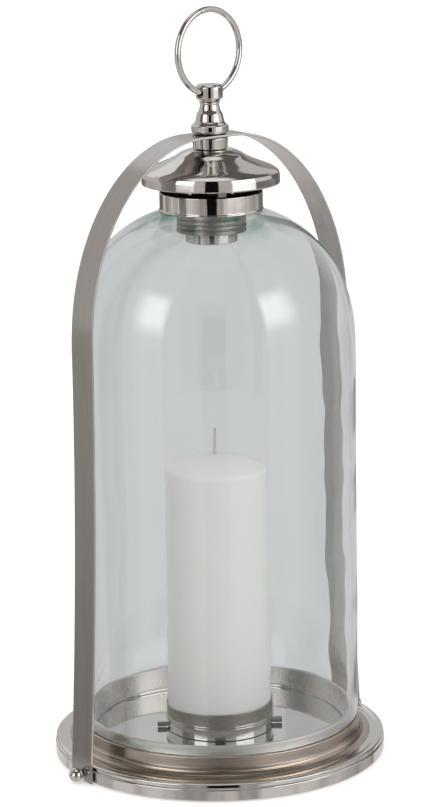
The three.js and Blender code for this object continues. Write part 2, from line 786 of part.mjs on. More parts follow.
export default lantern;
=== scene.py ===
import math

import bmesh
import bpy
from mathutils import Matrix, Vector


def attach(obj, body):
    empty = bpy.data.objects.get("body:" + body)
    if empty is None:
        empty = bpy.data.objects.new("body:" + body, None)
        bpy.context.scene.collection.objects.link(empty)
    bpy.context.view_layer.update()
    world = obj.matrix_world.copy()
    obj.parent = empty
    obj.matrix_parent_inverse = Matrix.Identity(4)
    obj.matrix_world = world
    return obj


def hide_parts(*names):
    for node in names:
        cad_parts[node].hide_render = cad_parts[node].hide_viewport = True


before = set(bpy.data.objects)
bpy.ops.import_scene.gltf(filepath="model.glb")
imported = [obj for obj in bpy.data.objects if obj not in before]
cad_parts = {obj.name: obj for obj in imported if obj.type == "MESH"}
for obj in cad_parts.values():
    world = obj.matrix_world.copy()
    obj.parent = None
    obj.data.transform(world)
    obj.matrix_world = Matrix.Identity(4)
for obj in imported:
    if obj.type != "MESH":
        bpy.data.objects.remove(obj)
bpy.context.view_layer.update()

MM = 0.001
scene = bpy.context.scene
scene.view_settings.view_transform = "Standard"
scene.view_settings.look = "None"

# ------------------------------------------------------------------ camera

HEADING = math.radians(36)          # the camera looks this far round from +Y towards +X
DISTANCE = 2.2                      # metres from the part's axis
HEIGHT = 0.7747
PITCH = 0.2263                      # radians below the level
ROLL = -0.0165                      # radians
LENS = 135.18

ahead = Vector((math.sin(HEADING), math.cos(HEADING), 0))
right = Vector((math.cos(HEADING), -math.sin(HEADING), 0))
towards_camera = -ahead


def make_camera():
    forward = ahead * math.cos(PITCH) + Vector((0, 0, -math.sin(PITCH)))
    level = forward.cross(Vector((0, 0, 1))).normalized()
    up = level.cross(forward)
    side = math.cos(ROLL) * level + math.sin(ROLL) * up
    top = -math.sin(ROLL) * level + math.cos(ROLL) * up
    turn = Matrix((side, top, -forward)).transposed().to_4x4()
    data = bpy.data.cameras.new("camera")
    data.lens = LENS
    data.sensor_width = 36
    data.clip_end = 60
    camera = bpy.data.objects.new("camera", data)
    camera.matrix_world = Matrix.Translation(towards_camera * DISTANCE + Vector((0, 0, HEIGHT))) @ turn
    scene.collection.objects.link(camera)
    scene.camera = camera


make_camera()

# ------------------------------------------------------------------ node helpers


class Nodes:
    """Short calls for building a node tree."""

    def __init__(self, tree, clear=True):
        self.tree = tree
        if clear:
            tree.nodes.clear()

    def add(self, kind, **settings):
        node = self.tree.nodes.new(kind)
        for key, value in settings.items():
            setattr(node, key, value)
        return node

    def feed(self, socket, value):
        if isinstance(value, bpy.types.NodeSocket):
            self.tree.links.new(value, socket)
        elif value is not None:
            socket.default_value = value

    def place(self):
        """The point being shaded, in metres in the piece's own frame."""
        return self.add("ShaderNodeTexCoord").outputs["Object"]

    def math(self, operation, a, b=None, c=None, clamp=False):
        node = self.add("ShaderNodeMath", operation=operation, use_clamp=clamp)
        for socket, value in zip(node.inputs, (a, b, c)):
            self.feed(socket, value)
        return node.outputs[0]

    def vector(self, operation, a, b=None):
        node = self.add("ShaderNodeVectorMath", operation=operation)
        self.feed(node.inputs[0], a)
        if b is not None:
            self.feed(node.inputs[1], b)
        return node.outputs["Value"] if operation in ("DOT_PRODUCT", "LENGTH") else node.outputs[0]

    def split(self, vector):
        node = self.add("ShaderNodeSeparateXYZ")
        self.feed(node.inputs[0], vector)
        return node.outputs[0], node.outputs[1], node.outputs[2]

    def combine(self, x=0.0, y=0.0, z=0.0):
        node = self.add("ShaderNodeCombineXYZ")
        for socket, value in zip(node.inputs, (x, y, z)):
            self.feed(socket, value)
        return node.outputs[0]

    def product(self, *factors):
        """All the factors multiplied together."""
        result = factors[0]
        for factor in factors[1:]:
            result = self.math("MULTIPLY", result, factor)
        return result

    def scale(self, vector, factors):
        return self.vector("MULTIPLY", vector, factors)

    def noise(self, vector, scale, detail=3.0, roughness=0.5, distortion=0.0):
        node = self.add("ShaderNodeTexNoise")
        for name, value in (("Vector", vector), ("Scale", scale), ("Detail", detail),
                            ("Roughness", roughness), ("Distortion", distortion)):
            self.feed(node.inputs[name], value)
        return node.outputs["Fac"]

    def span(self, value, low, high, out_low=0.0, out_high=1.0, smooth=False):
        node = self.add("ShaderNodeMapRange", interpolation_type="SMOOTHSTEP" if smooth else "LINEAR")
        for name, item in (("Value", value), ("From Min", low), ("From Max", high),
                           ("To Min", out_low), ("To Max", out_high)):
            self.feed(node.inputs[name], item)
        return node.outputs["Result"]

    def mix(self, factor, a, b, blend="MIX"):
        node = self.add("ShaderNodeMix", data_type="RGBA", blend_type=blend)
        self.feed(node.inputs[0], factor)
        for socket, value in ((node.inputs[6], a), (node.inputs[7], b)):
            self.feed(socket, (*value, 1.0) if isinstance(value, tuple) and len(value) == 3 else value)
        return node.outputs[2]

    def bump(self, height, distance, strength=1.0, normal=None):
        node = self.add("ShaderNodeBump")
        self.feed(node.inputs["Height"], height)
        node.inputs["Distance"].default_value = distance
        self.feed(node.inputs["Strength"], strength)
        if normal is not None:
            self.feed(node.inputs["Normal"], normal)
        return node.outputs["Normal"]


def new_material(name):
    material = bpy.data.materials.new(name)
    material.use_nodes = True
    return material, Nodes(material.node_tree)


def principled(nodes, **inputs):
    """A Principled node wired to the output. Input names use _ for a space."""
    shader = nodes.add("ShaderNodeBsdfPrincipled")
    for key, value in inputs.items():
        socket = shader.inputs[key.replace("_", " ")]
        nodes.feed(socket, (*value, 1.0) if isinstance(value, tuple) and len(value) == 3 and
                   socket.type == "RGBA" else value)
    output = nodes.add("ShaderNodeOutputMaterial")
    nodes.tree.links.new(shader.outputs[0], output.inputs["Surface"])
    return shader, output


def put_in_place(nodes, shader, output, other, factor):
    """Where factor is 1, the other shader stands in for the first."""
    blend = nodes.add("ShaderNodeMixShader")
    nodes.feed(blend.inputs[0], factor)
    nodes.tree.links.new(shader.outputs[0], blend.inputs[1])
    nodes.tree.links.new(other.outputs[0], blend.inputs[2])
    nodes.tree.links.new(blend.outputs[0], output.inputs["Surface"])


def darker(colour, share):
    """The colour with every channel multiplied by share."""
    return tuple(c * share for c in colour)


# ------------------------------------------------------------------ studio


def window(nodes, value, low, high, soft):
    """1 between low and high, fading to 0 outside them over soft degrees, or over soft[0] and soft[1]."""
    below, above = soft if isinstance(soft, tuple) else (soft, soft)
    rise = nodes.span(value, low - below, low, smooth=True)
    fall = nodes.span(value, high, high + above, 1.0, 0.0, smooth=True)
    return nodes.product(rise, fall)


def patch(nodes, colour, azimuth, elevation, sides, heights, radiance, soft_sides, soft_heights):
    """Paints a soft-edged rectangle of the studio over colour. Angles are in degrees."""
    across = window(nodes, azimuth, *sides, soft_sides)
    upright = window(nodes, elevation, *heights, soft_heights)
    return nodes.mix(nodes.product(across, upright), colour, radiance)


FILL = 0.54                         # even light from all sides that only matt surfaces pick up
SOFT_BOX = (1.75, 1.74, 1.74)
BLACK = (0.006, 0.006, 0.006)
WHITE = (1.0, 1.0, 1.0)
SHEEN = (0.6, 0.61, 0.62)           # what the glass reflects between the boxes
SHEEN_TAIL = (1.15, 1.15, 1.15)
SHEEN_CORE = (4.8, 4.8, 4.8)
OUT_AGAIN = 2.5                     # a ray through more faces of glass than two has come out of the bell


def make_world():
    """White to the eye. The object sees a dim room with a grey table, two soft boxes and a light above."""
    world = bpy.data.worlds.new("studio")
    scene.world = world
    world.use_nodes = True
    nodes = Nodes(world.node_tree)
    direction = nodes.add("ShaderNodeTexCoord").outputs["Generated"]
    facing = nodes.vector("DOT_PRODUCT", direction, tuple(towards_camera))
    sideways = nodes.vector("DOT_PRODUCT", direction, tuple(right))
    azimuth = nodes.math("DEGREES", nodes.math("ARCTAN2", sideways, facing))
    away = nodes.math("ABSOLUTE", azimuth)
    height = nodes.split(direction)[2]
    elevation = nodes.math("DEGREES", nodes.math("ARCSINE", height))

    colour = nodes.mix(nodes.span(elevation, -10, 60), (0.17, 0.155, 0.145), (0.12, 0.11, 0.105))
    uneven = nodes.noise(nodes.combine(nodes.product(azimuth, 0.055), 0.3, 0.7), 1.0, 2.0, 0.5)
    ground = nodes.mix(nodes.span(uneven, 0.32, 0.58), (0.29, 0.27, 0.25), (0.70, 0.675, 0.65))
    areas = (
        (away, (-5, 130), (-95, -8.5), ground, 10, 2),                              # table
        (away, (140, 190), (-95, -14), (0.72, 0.70, 0.685), 8, 3),                  # table, far side
        (azimuth, (-121, -96), (-95, -17), (0.47, 0.455, 0.44), (1.5, 6), 1),       # table, left
        (azimuth, (-121, -96), (-16.4, -15.2), (0.2, 0.19, 0.175), 4, (1, 1.6)),    # dark line above
        (azimuth, (-150, -92), (-6.5, 48), (0.55, 0.53, 0.51), 6, (2, 6)),          # backdrop, left
        (away, (152, 190), (3, 42), (0.57, 0.565, 0.56), 8, 3),                     # backdrop, middle
        (azimuth, (-185, -144), (24, 50), (0.84, 0.835, 0.83), 1, (4, 5)),          # its pale top
        (azimuth, (-30, 38), (-6, 20), (0.55, 0.52, 0.50), 5, 3),                   # room round the camera
        (azimuth, (-58, -30), (-3, 36), SOFT_BOX, 4, (5, 4)),
        (azimuth, (38, 78), (-4, 36), SOFT_BOX, 4, (7, 4)),
        (azimuth, (84, 118), (0, 50), (0.7, 0.69, 0.68), 6, 6),                     # wall, right
        (azimuth, (-9, 12), (-18.5, 30), BLACK, 1.5, 0.5),                          # camera
    )
    for around, *area in areas:
        colour = patch(nodes, colour, around, elevation, *area)
    overhead = nodes.span(elevation, 64, 76, smooth=True)
    colour = nodes.mix(overhead, colour, (0.9, 0.9, 0.9))

    path = nodes.add("ShaderNodeLightPath")
    sheen = patch(nodes, SHEEN, azimuth, elevation, (-9, 10), (-30, 24), (0.1, 0.1, 0.1), 1, 4)
    for sides, soft in (((-56, -44), (24, 3)), ((46, 60), (3, 25))):
        sheen = patch(nodes, sheen, azimuth, elevation, sides, (-12, 20), SHEEN_TAIL, soft, 10)
        sheen = patch(nodes, sheen, azimuth, elevation, sides, (20, 30), SHEEN_CORE, soft, (15, 12))
    on_glass = nodes.product(path.outputs["Is Singular Ray"],
                             nodes.math("LESS_THAN", path.outputs["Transmission Depth"], OUT_AGAIN))
    colour = nodes.mix(on_glass, colour, sheen)
    fill = nodes.product(path.outputs["Is Diffuse Ray"], FILL)
    colour = nodes.mix(fill, colour, WHITE, "ADD")
    seen = nodes.math("COMPARE", path.outputs["Ray Depth"], path.outputs["Transmission Depth"], 0.1)
    colour = nodes.mix(seen, colour, WHITE)
    background = nodes.add("ShaderNodeBackground")
    nodes.feed(background.inputs["Color"], colour)
    output = nodes.add("ShaderNodeOutputWorld")
    nodes.tree.links.new(background.outputs[0], output.inputs["Surface"])
    world.cycles.sampling_method = "MANUAL"
    world.cycles.sample_map_resolution = 512


make_world()


def round_turn(count):
    """Angles evenly spaced round a full turn."""
    return [2 * math.pi * i / count for i in range(count)]


def disc(name, inner, outer, segments=96):
    """A flat ring, or a whole disc where inner is next to nothing, with radii in metres."""
    mesh = bmesh.new()
    rings = [[mesh.verts.new((r * math.cos(a), r * math.sin(a), 0)) for a in round_turn(segments)]
             for r in (inner, outer)]
    for i in range(segments):
        j = (i + 1) % segments
        mesh.faces.new((rings[0][i], rings[1][i], rings[1][j], rings[0][j]))
    if inner < 0.01:
        mesh.faces.new(rings[0])
    data = bpy.data.meshes.new(name)
    mesh.to_mesh(data)
    mesh.free()
    piece = bpy.data.objects.new(name, data)
    scene.collection.objects.link(piece)
    return piece


THROUGH_GLASS = 0.49                # the picture's ground was cut out to white, but not behind the glass
FLOOR_LIGHT = 1.15
FLOOR_NEAR = 0.6
FLOOR_FAR = 14.0


def make_floor():
    """White paper that the camera sees over-exposed and that mirrors outside the bell don't see."""
    material, nodes = new_material("floor_paper")
    position = nodes.place()
    tone = nodes.span(nodes.noise(position, 3.0), 0, 1, 0.93, 0.945)
    path = nodes.add("ShaderNodeLightPath")
    through = nodes.math("GREATER_THAN", path.outputs["Transmission Depth"], 0.5)
    tone = nodes.product(tone, nodes.span(through, 0.0, 1.0, 1.0, THROUGH_GLASS))
    shader, output = principled(nodes, Base_Color=nodes.combine(tone, tone, tone), Roughness=0.9,
                                Specular_IOR_Level=0.2)
    # A mirror inside the bell sees the studio through this floor, as the mirrors outside do.
    inside = nodes.product(nodes.math("GREATER_THAN", path.outputs["Glossy Depth"], 0.5),
                           nodes.math("GREATER_THAN", path.outputs["Transmission Depth"], OUT_AGAIN))
    put_in_place(nodes, shader, output, nodes.add("ShaderNodeBsdfTransparent"), inside)
    near = disc("floor_near", 0.001, FLOOR_NEAR)
    far = disc("floor_far", FLOOR_NEAR, FLOOR_FAR)
    floor_light = bpy.data.collections.new("floor_light")
    for piece in (near, far):
        piece.visible_glossy = False
        piece.data.materials.append(material)
        floor_light.objects.link(piece)
    data = bpy.data.lights.new("floor_fill", "SUN")
    data.energy = FLOOR_LIGHT
    data.angle = 0.5
    data.use_shadow = False
    lamp = bpy.data.objects.new("floor_fill", data)
    scene.collection.objects.link(lamp)
    lamp.light_linking.receiver_collection = floor_light


make_floor()

# ------------------------------------------------------------------ mesh helpers


def rounded(points, radius, closed=True, steps=4, keep=()):
    """The outline with its corners rounded. Points on the axis, and those in keep, stay sharp."""
    out = []
    count = len(points)
    for i, (r, z) in enumerate(points):
        at_end = not closed and i in (0, count - 1)
        if at_end or i in keep or r < 1e-6:
            out.append((r, z))
            continue
        corner = Vector((r, z))
        before = Vector(points[i - 1]) - corner
        after = Vector(points[(i + 1) % count]) - corner
        reach = min(radius, 0.42 * before.length, 0.42 * after.length)
        start = corner + before.normalized() * reach
        end = corner + after.normalized() * reach
        for k in range(steps + 1):
            t = k / steps
            point = start * (1 - t) ** 2 + corner * 2 * t * (1 - t) + end * t ** 2
            out.append((point.x, point.y))
    return supported(out, closed)


def supported(points, closed=True, inset=0.05):
    """Adds a point close to each end of every straight run, so that flat walls shade flat."""
    out = []
    count = len(points)
    for i, (r, z) in enumerate(points):
        out.append((r, z))
        if i == count - 1 and not closed:
            break
        r2, z2 = points[(i + 1) % count]
        length = math.hypot(r2 - r, z2 - z)
        if length > 0.5:
            share = inset / length
            out.append((r + (r2 - r) * share, z + (z2 - z) * share))
            out.append((r2 + (r - r2) * share, z2 + (z - z2) * share))
    return out


def curved(points, steps=6):
    """A smooth curve through the points (Catmull-Rom)."""
    out = []
    ends = [points[0]] + list(points) + [points[-1]]
    for i in range(1, len(ends) - 2):
        p0, p1, p2, p3 = (Vector(p) for p in ends[i - 1:i + 3])
        for k in range(steps):
            t = k / steps
            point = 0.5 * (2 * p1 + (p2 - p0) * t + (2 * p0 - 5 * p1 + 4 * p2 - p3) * t ** 2
                           + (3 * p1 - p0 - 3 * p2 + p3) * t ** 3)
            out.append((point.x, point.y))
    out.append(tuple(points[-1]))
    return out


SHARP_ANGLE = 32                    # edges that turn more than this many degrees shade sharp


def finished(name, mesh, material, body, nodes, angle=SHARP_ANGLE):
    """Turns a bmesh (in metres) into a piece that stands for CAD nodes."""
    bmesh.ops.recalc_face_normals(mesh, faces=mesh.faces)
    data = bpy.data.meshes.new(name)
    mesh.to_mesh(data)
    mesh.free()
    data.shade_smooth()
    data.set_sharp_from_angle(angle=math.radians(angle))
    piece = bpy.data.objects.new(name, data)
    scene.collection.objects.link(piece)
    data.materials.append(material)
    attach(piece, body)
    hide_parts(*nodes)
    return piece


def turned_mesh(profile, segments=160, closed=True, wobble=None):
    """A solid of revolution about Z in metres from [radius, height] points in millimetres."""
    mesh = bmesh.new()
    rings = []
    for index, (r, z) in enumerate(profile):
        if r < 1e-6:
            rings.append([mesh.verts.new((0, 0, z * MM))])
            continue
        ring = []
        for angle in round_turn(segments):
            radius = r + (wobble(index, r, z, angle) if wobble else 0.0)
            x, y = radius * math.cos(angle), radius * math.sin(angle)
            ring.append(mesh.verts.new((x * MM, y * MM, z * MM)))
        rings.append(ring)
    pairs = list(zip(rings, rings[1:] + rings[:1])) if closed else list(zip(rings, rings[1:]))
    for low, high in pairs:
        for i in range(segments):
            j = (i + 1) % segments
            if len(low) == 1 and len(high) == 1:
                continue
            if len(low) == 1:
                mesh.faces.new((low[0], high[j], high[i]))
            elif len(high) == 1:
                mesh.faces.new((low[i], low[j], high[0]))
            else:
                mesh.faces.new((low[i], low[j], high[j], high[i]))
    return mesh


def skin(mesh, rings):
    """Walls from each ring of points to the next, and a face over both ends."""
    count = len(rings[0])
    for low, high in zip(rings, rings[1:]):
        for i in range(count):
            j = (i + 1) % count
            mesh.faces.new((low[i], low[j], high[j], high[i]))
    mesh.faces.new(list(reversed(rings[0])))
    mesh.faces.new(rings[-1])


def move_mesh(mesh, *matrices):
    """Applies the matrices, one after another."""
    for matrix in matrices:
        bmesh.ops.transform(mesh, matrix=matrix, verts=mesh.verts)
    return mesh


def lay_along_x(mesh, z, turn=0.0):
    """Lays a mesh that was turned about Z along X at height z, then swings it round Z by turn."""
    return move_mesh(mesh, Matrix.Rotation(math.pi / 2, 4, "Y"), Matrix.Translation((0, 0, z * MM)),
                     Matrix.Rotation(turn, 4, "Z"))


def rod_mesh(radius, z0, z1, segments=32):
    """A round rod along Z."""
    return turned_mesh([(0, z0), (radius, z0), (radius, z1), (0, z1)], segments, closed=False)


def bar_mesh(radius, x0, x1, z, segments=32):
    """A round bar along X."""
    return lay_along_x(rod_mesh(radius, x0, x1, segments), z)


def block_mesh(size, centre):
    mesh = bmesh.new()
    bmesh.ops.create_cube(mesh, size=1.0)
    bmesh.ops.scale(mesh, vec=Vector(size) * MM, verts=mesh.verts)
    bmesh.ops.translate(mesh, vec=Vector(centre) * MM, verts=mesh.verts)
    return mesh


def combine(piece, meshes, operation):
    """Applies a boolean of each mesh to the piece."""
    for mesh in meshes:
        data = bpy.data.meshes.new("cutter")
        mesh.to_mesh(data)
        mesh.free()
        cutter = bpy.data.objects.new("cutter", data)
        scene.collection.objects.link(cutter)
        modifier = piece.modifiers.new("boolean", "BOOLEAN")
        modifier.operation = operation
        modifier.solver = "EXACT"
        modifier.object = cutter
        graph = bpy.context.evaluated_depsgraph_get()
        result = bpy.data.meshes.new_from_object(piece.evaluated_get(graph))
        piece.modifiers.clear()
        old = piece.data
        piece.data = result
        result.name = piece.name
        bpy.data.meshes.remove(old)
        bpy.data.objects.remove(cutter)
        bpy.data.meshes.remove(data)
    piece.data.shade_smooth()
    piece.data.set_sharp_from_angle(angle=math.radians(SHARP_ANGLE))


# ------------------------------------------------------------------ materials


def polished_metal(name, colour, roughness, wave=0.00012, wave_scale=28.0, grain=0.0):
    """Mirror nickel plate: hand-polished waves, fine smudges, faint turning lines."""
    material, nodes = new_material(name)
    position = nodes.place()
    x, y, z = nodes.split(position)
    radius = nodes.vector("LENGTH", nodes.combine(x, y))
    waves = nodes.noise(position, wave_scale, 2.0, 0.4)
    smudge = nodes.noise(position, 90.0, 4.0, 0.6)
    lines = nodes.noise(nodes.combine(radius, z), 1500.0, 2.0, 0.6)
    specks = nodes.noise(position, 900.0, 2.0, 0.6)
    rough = nodes.span(smudge, 0.35, 0.75, roughness * 0.7, roughness * 1.5)
    rough = nodes.math("ADD", rough, nodes.span(specks, 0.66, 0.74, 0.0, 0.10))
    rough = nodes.math("ADD", rough, nodes.span(lines, 0.3, 0.8, 0.0, grain))
    tone = nodes.mix(nodes.span(smudge, 0.3, 0.8), colour, darker(colour, 0.93))
    normal = nodes.bump(waves, wave)
    if grain:
        normal = nodes.bump(lines, 0.000015, 0.5, normal)
    principled(nodes, Base_Color=tone, Metallic=1.0, Roughness=rough, Normal=normal)
    return material


def capped_metal(name, colour, roughness):
    """Mirror nickel plate, painted near-black on two hidden faces as painted shade: under the cap and on the
    collar's top, where the gap between them lies in shadow.
    """
    material = polished_metal(name, colour, roughness, 0.00016, 45.0, 0.02)
    nodes = Nodes(material.node_tree, clear=False)
    shader = next(node for node in nodes.tree.nodes if node.type == "BSDF_PRINCIPLED")
    x, y, z = nodes.split(nodes.place())
    radius = nodes.vector("LENGTH", nodes.combine(x, y))
    up = nodes.split(nodes.add("ShaderNodeNewGeometry").outputs["True Normal"])[2]
    under = nodes.product(nodes.span(z, 0.4283, 0.4286), nodes.span(radius, 0.0503, 0.0498),
                          nodes.span(up, 0.3, 0.1))
    on_collar = nodes.product(nodes.span(up, 0.7, 0.9), nodes.span(z, 0.4286, 0.4288, 1.0, 0.0))
    # Painted shade: a near-black colour and a rougher finish on these faces stand in for the shadow in the
    # gap between the cap and the collar.
    painted_shade = nodes.math("MAXIMUM", under, on_collar)
    old_colour = shader.inputs["Base Color"].links[0].from_socket
    old_rough = shader.inputs["Roughness"].links[0].from_socket
    rough = nodes.math("MAXIMUM", old_rough, nodes.product(painted_shade, 0.6))
    nodes.feed(shader.inputs["Base Color"], nodes.mix(painted_shade, old_colour, (0.02, 0.02, 0.02)))
    nodes.feed(shader.inputs["Roughness"], rough)
    return material


def turned(nodes):
    """Where a point of a turned part is: position, distance from the axis, height and angle round it."""
    position = nodes.place()
    x, y, z = nodes.split(position)
    return position, nodes.vector("LENGTH", nodes.combine(x, y)), z, nodes.math("ARCTAN2", y, x)


def turning_lines(nodes, radius, z, angle):
    """The fine marks that a lathe leaves."""
    return nodes.noise(nodes.combine(radius, z, nodes.product(angle, 0.0008)), 2600.0, 3.0, 0.65)


def turned_metal(name, colour, roughness, depth=0.00002):
    """Brushed nickel with a turned grain that runs round the part."""
    material, nodes = new_material(name)
    position, radius, z, angle = turned(nodes)
    lines = turning_lines(nodes, radius, z, angle)
    broad = nodes.noise(nodes.combine(radius, z, nodes.product(angle, 0.004)), 420.0, 2.0, 0.5)
    smudge = nodes.noise(position, 45.0, 4.0, 0.6)
    shade = nodes.mix(nodes.span(lines, 0.25, 0.75), darker(colour, 0.72), colour)
    shade = nodes.mix(nodes.span(smudge, 0.3, 0.8, 0.0, 0.5), shade, darker(colour, 0.8))
    rough = nodes.span(broad, 0.3, 0.7, roughness * 0.8, roughness * 1.25)
    principled(nodes, Base_Color=shade, Metallic=1.0, Roughness=rough,
               Normal=nodes.bump(lines, depth, 1.0))
    return material


def gallery_metal(name):
    """Turned nickel: a dull brown wall outside with its two crests painted pale gold as painted highlights, a
    pale seat and lip, a mirror inside.
    """
    material, nodes = new_material(name)
    position, radius, z, angle = turned(nodes)
    outside = nodes.span(radius, 0.1058, 0.1063)
    seat = nodes.span(radius, 0.0981, 0.0986)
    crest = nodes.math("ADD", window(nodes, z, 0.0168, 0.0182, 0.0004), nodes.span(z, 0.0272, 0.0276))
    crest = nodes.math("MULTIPLY", crest, nodes.span(radius, 0.1055, 0.1058), clamp=True)
    lines = turning_lines(nodes, radius, z, angle)
    smudge = nodes.noise(position, 45.0, 4.0, 0.6)
    wall = nodes.mix(nodes.span(lines, 0.25, 0.75), (0.32, 0.28, 0.245), (0.66, 0.585, 0.515))
    wall = nodes.mix(nodes.span(smudge, 0.3, 0.8, 0.0, 0.5), wall, (0.38, 0.335, 0.30))
    pale = nodes.mix(nodes.span(lines, 0.25, 0.75), (0.68, 0.645, 0.605), (0.76, 0.725, 0.68))
    mirror = nodes.mix(nodes.span(smudge, 0.3, 0.8), (0.70, 0.675, 0.65), (0.62, 0.59, 0.56))
    tone = nodes.mix(outside, nodes.mix(seat, mirror, pale), wall)
    # Painted highlight: the two crests of the outer wall get a pale gold colour that stands in for the bright
    # lines of light along their edges.
    tone = nodes.mix(crest, tone, (0.82, 0.70, 0.56))
    rough = nodes.span(seat, 0.0, 1.0, nodes.span(smudge, 0.3, 0.8, 0.05, 0.10), 0.42)
    rough = nodes.span(outside, 0.0, 1.0, rough, 0.26)
    principled(nodes, Base_Color=tone, Metallic=1.0, Roughness=rough,
               Normal=nodes.bump(lines, 0.00002, nodes.span(seat, 0.0, 1.0, 0.06, 1.0)))
    return material


def cup_metal(name):
    """Nickel plate: dull and brushed above the beads, a mirror below them."""
    material, nodes = new_material(name)
    position, radius, z, angle = turned(nodes)
    above = nodes.span(z, 0.0284, 0.0288)
    lines = turning_lines(nodes, radius, z, angle)
    smudge = nodes.noise(position, 60.0, 4.0, 0.6)
    dull = nodes.mix(nodes.span(lines, 0.25, 0.75), (0.40, 0.365, 0.335), (0.66, 0.61, 0.565))
    mirror = nodes.mix(nodes.span(smudge, 0.3, 0.8), (0.72, 0.695, 0.67), (0.60, 0.575, 0.55))
    rough = nodes.span(above, 0.0, 1.0, nodes.span(smudge, 0.3, 0.8, 0.05, 0.10), 0.30)
    principled(nodes, Base_Color=nodes.mix(above, mirror, dull), Metallic=1.0, Roughness=rough,
               Normal=nodes.bump(lines, 0.00002, nodes.span(above, 0.0, 1.0, 0.2, 1.0)))
    return material


def strip_metal(name, colour, roughness):
    """Nickel-plated strip with a fine grain along its length. Its width is along Y."""
    material, nodes = new_material(name)
    position = nodes.place()
    x, y, z = nodes.split(position)
    drawn_out = nodes.combine(nodes.product(x, 0.012), y, nodes.product(z, 0.012))
    lines = nodes.noise(drawn_out, 2400.0, 3.0, 0.7)
    bands = nodes.noise(drawn_out, 320.0, 2.0, 0.5)
    smudge = nodes.noise(nodes.scale(position, (1.0, 2.2, 0.5)), 30.0, 4.0, 0.6)
    shade = nodes.mix(nodes.span(lines, 0.25, 0.75), darker(colour, 0.75), colour)
    shade = nodes.mix(nodes.span(bands, 0.35, 0.7, 0.0, 0.5), shade, darker(colour, 0.85))
    shade = nodes.mix(nodes.span(smudge, 0.35, 0.8, 0.0, 0.4), shade, darker(colour, 0.85))
    rough = nodes.span(bands, 0.3, 0.7, roughness * 0.8, roughness * 1.2)
    principled(nodes, Base_Color=shade, Metallic=1.0, Roughness=rough, Anisotropic=0.6,
               Tangent=nodes.combine(0.0, 1.0, 0.0), Normal=nodes.bump(lines, 0.000015, 1.0))
    return material


def plain_steel(name):
    """Bare steel with a dull, cloudy skin."""
    material, nodes = new_material(name)
    position = nodes.place()
    cloud = nodes.noise(position, 160.0, 4.0, 0.6)
    fine = nodes.noise(position, 1400.0, 3.0, 0.6)
    tone = nodes.mix(cloud, (0.42, 0.40, 0.38), (0.30, 0.285, 0.27))
    rough = nodes.span(fine, 0.3, 0.7, 0.34, 0.48)
    principled(nodes, Base_Color=tone, Metallic=1.0, Roughness=rough, Normal=nodes.bump(fine, 0.00002))
    return material


def blown_glass(name):
    """Clear grey-green glass. Light from lamps passes straight through, so that what it covers is lit."""
    material, nodes = new_material(name)
    position = nodes.place()
    z = nodes.split(position)[2]
    neck = nodes.span(z, 0.395, 0.418, smooth=True)
    foot = nodes.span(z, 0.036, 0.0285, smooth=True)
    blotch = nodes.span(nodes.noise(position, 55.0, 2.0, 0.5), 0.42, 0.55)
    green = nodes.math("MAXIMUM", nodes.product(neck, blotch), nodes.product(foot, 0.05))
    tint = nodes.mix(green, (0.945, 0.966, 0.974), (0.28, 0.50, 0.40))
    ripple = nodes.noise(nodes.scale(position, (1.0, 1.0, 0.6)), 26.0, 2.0, 0.4)
    shader, output = principled(nodes, Base_Color=tint, Roughness=0.0, IOR=1.46, Transmission_Weight=1.0,
                                Normal=nodes.bump(ripple, 0.00025))
    clear = nodes.add("ShaderNodeBsdfTransparent")
    clear.inputs["Color"].default_value = (0.955, 0.96, 0.962, 1.0)
    path = nodes.add("ShaderNodeLightPath")
    passes = nodes.math("MAXIMUM", path.outputs["Is Shadow Ray"], path.outputs["Is Diffuse Ray"])
    put_in_place(nodes, shader, output, clear, passes)
    return material


def candle_wax(name):
    """Ivory wax with a faint mottle and frost."""
    material, nodes = new_material(name)
    position = nodes.place()
    mottle = nodes.noise(position, 40.0, 4.0, 0.6)
    frost = nodes.noise(position, 420.0, 3.0, 0.6)
    tone = nodes.mix(nodes.span(mottle, 0.3, 0.75), (0.93, 0.918, 0.885), (0.90, 0.885, 0.848))
    rough = nodes.span(frost, 0.3, 0.7, 0.42, 0.55)
    principled(nodes, Base_Color=tone, Roughness=rough, Subsurface_Weight=0.35,
               Subsurface_Radius=(0.012, 0.010, 0.008), Subsurface_Scale=1.0, Coat_Weight=0.08,
               Normal=nodes.bump(frost, 0.00004, 1.0, nodes.bump(mottle, 0.0006)))
    return material


def braided_wick(name):
    """Cotton with twisted strands, grey at its tip."""
    material, nodes = new_material(name)
    position = nodes.place()
    x, y, z = nodes.split(position)
    twist = nodes.math("ADD", nodes.product(z, 2200.0), nodes.math("ARCTAN2", y, x))
    strand = nodes.math("SINE", nodes.product(twist, 2.0))
    end = nodes.span(z, 0.246, 0.249, smooth=True)
    tone = nodes.mix(end, (0.74, 0.73, 0.66), (0.42, 0.41, 0.38))
    tone = nodes.mix(nodes.span(strand, -1, 1, 0.0, 0.35), tone, (0.45, 0.44, 0.39))
    principled(nodes, Base_Color=tone, Roughness=0.85, Normal=nodes.bump(strand, 0.0002))
    return material


def soft_ring(name, colour):
    material, nodes = new_material(name)
    position = nodes.place()
    grit = nodes.noise(position, 700.0, 3.0, 0.6)
    tone = nodes.mix(grit, colour, darker(colour, 0.75))
    principled(nodes, Base_Color=tone, Roughness=0.65, Normal=nodes.bump(grit, 0.00005))
    return material


def wool_felt(name):
    material, nodes = new_material(name)
    position = nodes.place()
    fibre = nodes.noise(position, 1600.0, 5.0, 0.75, 0.6)
    tone = nodes.mix(fibre, (0.018, 0.018, 0.02), (0.06, 0.06, 0.063))
    principled(nodes, Base_Color=tone, Roughness=0.95, Sheen_Weight=0.3, Normal=nodes.bump(fibre, 0.0003))
    return material


